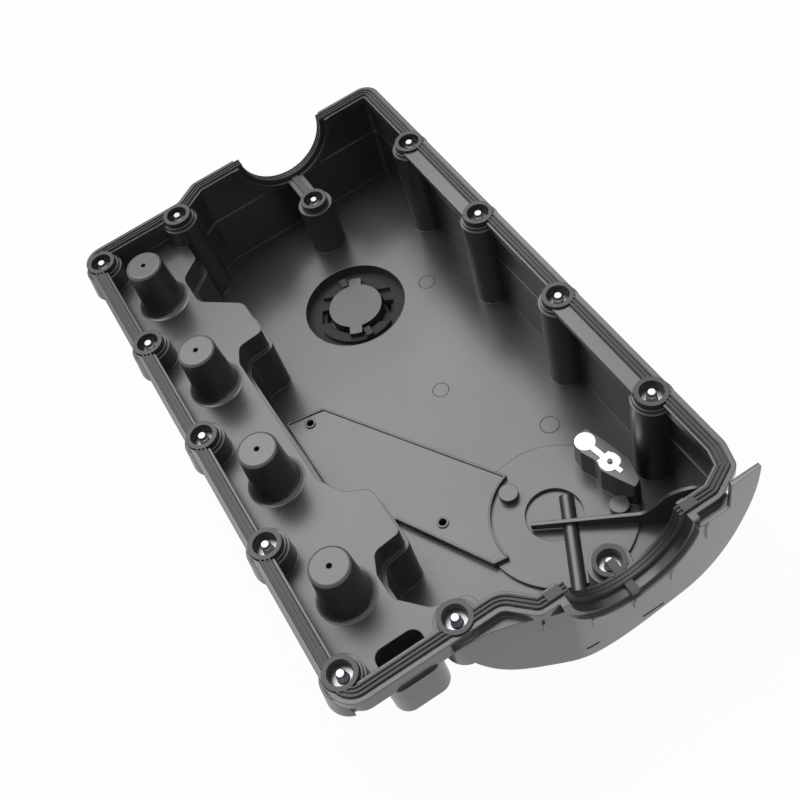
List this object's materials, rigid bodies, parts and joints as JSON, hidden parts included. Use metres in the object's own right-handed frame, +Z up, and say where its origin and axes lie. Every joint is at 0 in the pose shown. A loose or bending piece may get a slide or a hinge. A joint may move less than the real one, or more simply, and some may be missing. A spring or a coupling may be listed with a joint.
{
  "type": "valve cover",
  "caption": "Moulded plastic engine valve cover lying open side up, with a beaded rim gasket, captive bolts, oil separator and breather, and a quarter-turn oil filler cap.",
  "frame": {"origin": "centre of the bounding box on the table", "axes": "+X across the cover from the terrace rail to the plain bolt rail, +Y along it from the belt end to the far end, +Z up out of the open side"},
  "size_m": [0.25, 0.4164, 0.127],
  "materials": {
    "cover_plastic": "satin moulded",
    "cap_plastic": "satin moulded",
    "seal_rubber": "matt",
    "bolt_steel": "zinc plated",
    "spring_steel": "bright"
  },
  "bodies": {
    "cover": {"cover_shell": "cover_plastic", "rim_gasket": "seal_rubber", "captive_bolts": "bolt_steel", "bolt_sleeves": "bolt_steel", "bolt_grommets": "seal_rubber", "separator_plate": "cover_plastic", "breather_baffle": "cover_plastic", "drain_reed": "spring_steel", "breather_lid": "cover_plastic", "breather_diaphragm": "seal_rubber", "breather_spring": "spring_steel"},
    "cap": {"filler_cap": "cap_plastic", "filler_cap_seal": "seal_rubber"}
  },
  "joints": [
    {"name": "cap_turn", "type": "hinge", "parent": "cover", "child": "cap", "pos_m": [0.026, 0.0995, 0.02], "axis": [0, 0, 1], "range_deg": [-90, 0]}
  ]
}
